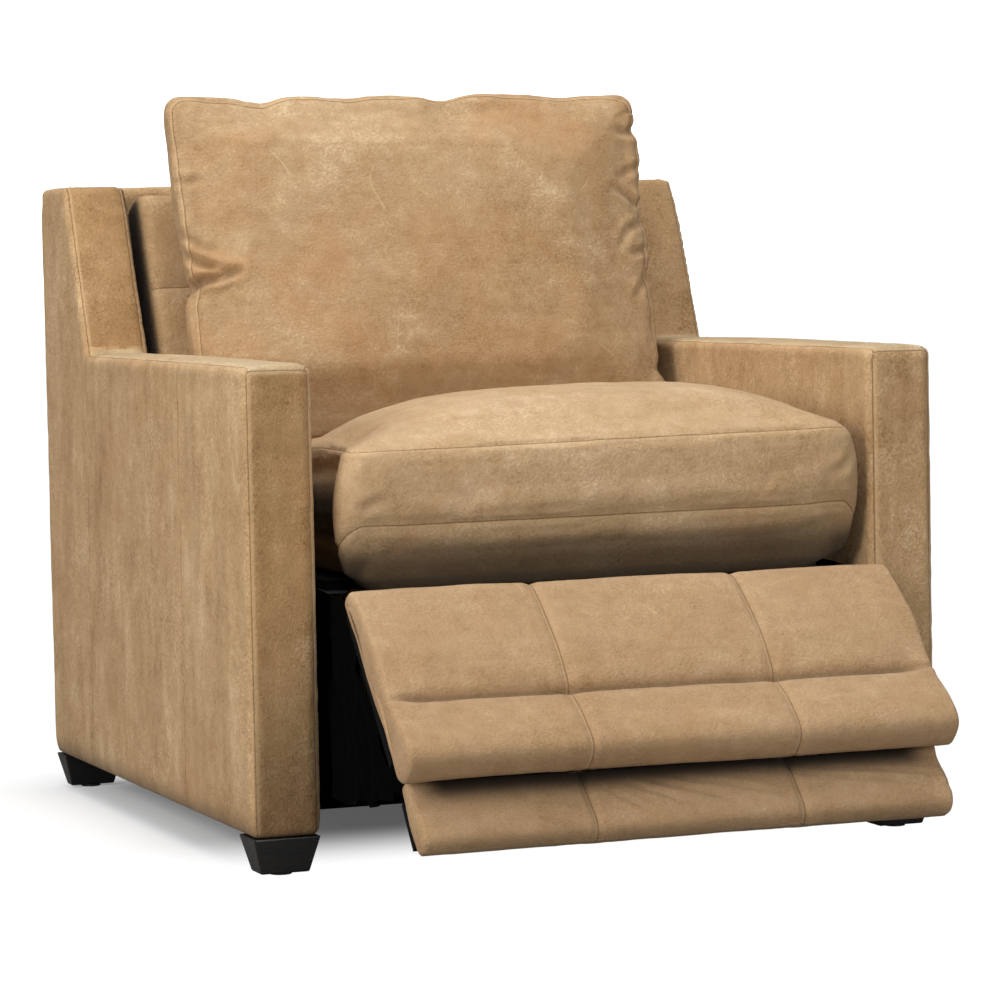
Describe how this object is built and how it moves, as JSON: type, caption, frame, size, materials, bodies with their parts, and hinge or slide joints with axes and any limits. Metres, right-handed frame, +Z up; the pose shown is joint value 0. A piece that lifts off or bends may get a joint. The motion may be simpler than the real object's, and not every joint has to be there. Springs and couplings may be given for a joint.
{
  "type": "recliner chair",
  "caption": "Reclining armchair with leather cushions, block feet and an opening padded footrest with a flipper panel",
  "frame": {"origin": "middle of the bounding box on the floor, with the footrest at its pictured opening", "axes": "+Z up, -Y the way a sitter faces, +X to the right of someone who looks at the chair's front"},
  "size_m": [0.9434, 1.2492, 0.9971],
  "materials": {
    "leather": "brushed nubuck-like aniline leather, tan",
    "black_wood": "satin near-black stain",
    "plywood": "raw plywood",
    "black_steel": "black powder coat",
    "bright_steel": "zinc plated",
    "black_plastic": "moulded, fine matt",
    "black_cloth": "spun-bond dust cloth"
  },
  "bodies": {
    "base": {"arm_left": "leather", "arm_right": "leather", "foot_front_left": "black_wood", "foot_front_right": "black_wood", "foot_rear_left": "black_wood", "foot_rear_right": "black_wood", "glide_front_left": "black_plastic", "glide_front_right": "black_plastic", "glide_rear_left": "black_plastic", "glide_rear_right": "black_plastic", "fixed_rail_left": "black_steel", "fixed_rail_right": "black_steel", "outside_back": "leather", "front_cross_rail": "black_steel", "rear_cross_rail": "black_steel", "dust_cover": "black_cloth", "switch_plate": "black_plastic"},
    "open_button": {"button_open": "bright_steel"},
    "close_button": {"button_close": "bright_steel"},
    "carriage": {"seat_deck": "plywood", "seat_cushion": "leather", "drive_screw": "bright_steel", "drive_gearbox": "black_plastic", "drive_motor": "black_steel", "gearbox_hanger": "black_steel", "fixed_plate_left": "black_steel", "fixed_plate_right": "black_steel", "runner_left": "black_steel", "runner_right": "black_steel"},
    "back": {"inner_back": "leather", "back_cushion": "leather", "back_bracket_left": "black_steel", "back_bracket_right": "black_steel"},
    "rear_arms": {"rear_arm_left": "black_steel", "rear_arm_right": "black_steel", "drive_tube": "black_steel"},
    "swing_arms": {"swing_arm_left": "black_steel", "swing_arm_right": "black_steel"},
    "lift_links": {"lift_link_left": "black_steel", "lift_link_right": "black_steel"},
    "lower_links": {"lower_link_left": "black_steel", "lower_link_right": "black_steel"},
    "footrest": {"footrest_pad": "leather", "footrest_board": "plywood", "footrest_bracket_left": "black_steel", "footrest_bracket_right": "black_steel", "footrest_ear_left": "black_steel", "footrest_ear_right": "black_steel"},
    "flipper_rockers": {"flipper_rocker_left": "black_steel", "flipper_rocker_right": "black_steel"},
    "flipper": {"flipper_pad": "leather", "flipper_board": "plywood", "flipper_ear_left": "black_steel", "flipper_ear_right": "black_steel"},
    "drive_nut": {"drive_block": "black_plastic"}
  },
  "joints": [
    {"name": "seat_slide", "type": "slide", "parent": "base", "child": "carriage", "axis": [0, -1, 0], "range_m": [0, 0.12]},
    {"name": "back_recline", "type": "hinge", "parent": "carriage", "child": "back", "pos_m": [0, 0.35158, 0.4], "axis": [-1, 0, 0], "range_deg": [0, 18.01]},
    {"name": "footrest_swing", "type": "hinge", "parent": "carriage", "child": "swing_arms", "pos_m": [0, -0.24342, 0.32], "axis": [-1, 0, 0], "range_deg": [-41.8, 48.2]},
    {"name": "rear_arm_swing", "type": "hinge", "parent": "carriage", "child": "rear_arms", "pos_m": [0, -0.15842, 0.33], "axis": [-1, 0, 0], "range_deg": [-41.81, 48.21]},
    {"name": "lift_link_turn", "type": "hinge", "parent": "swing_arms", "child": "lift_links", "pos_m": [0, -0.27777, 0.16156], "axis": [-1, 0, 0], "range_deg": [-48.21, 41.81]},
    {"name": "lower_link_turn", "type": "hinge", "parent": "swing_arms", "child": "lower_links", "pos_m": [0, -0.33775, 0.09447], "axis": [-1, 0, 0], "range_deg": [-48.21, 41.81]},
    {"name": "footrest_turn", "type": "hinge", "parent": "lift_links", "child": "footrest", "pos_m": [0, -0.40677, 0.29957], "axis": [-1, 0, 0], "range_deg": [-41.81, 48.21]},
    {"name": "rocker_turn", "type": "hinge", "parent": "footrest", "child": "flipper_rockers", "pos_m": [0, -0.48585, 0.08509], "axis": [-1, 0, 0], "range_deg": [-73.53, 63.77]},
    {"name": "flipper_turn", "type": "hinge", "parent": "flipper_rockers", "child": "flipper", "pos_m": [0, -0.53661, 0.11384], "axis": [-1, 0, 0], "range_deg": [-88.06, 101.54]},
    {"name": "drive_nut_slide", "type": "slide", "parent": "carriage", "child": "drive_nut", "axis": [0, -1, 0], "range_m": [-0.0757, 0.0873]},
    {"name": "open_button_press", "type": "slide", "parent": "base", "child": "open_button", "axis": [-1, 0, 0], "range_m": [0, 0.002], "stiffness_N_per_m": 1500, "springref_m": -0.001},
    {"name": "close_button_press", "type": "slide", "parent": "base", "child": "close_button", "axis": [-1, 0, 0], "range_m": [0, 0.002], "stiffness_N_per_m": 1500, "springref_m": -0.001}
  ],
  "couplings": [
    {"joint": "back_recline", "follows": "seat_slide", "rad_per_m": 2.618},
    {"joint": "rear_arm_swing", "follows": "footrest_swing", "ratio": 1},
    {"joint": "lift_link_turn", "follows": "footrest_swing", "ratio": -1},
    {"joint": "lower_link_turn", "follows": "footrest_swing", "ratio": -1},
    {"joint": "footrest_turn", "follows": "footrest_swing", "ratio": 1},
    {"joint": "rocker_turn", "follows": "footrest_swing", "ratio": -1.5254},
    {"joint": "flipper_turn", "follows": "footrest_swing", "ratio": 2.1065},
    {"joint": "drive_nut_slide", "follows": "footrest_swing", "m_per_rad": 0.1036}
  ]
}
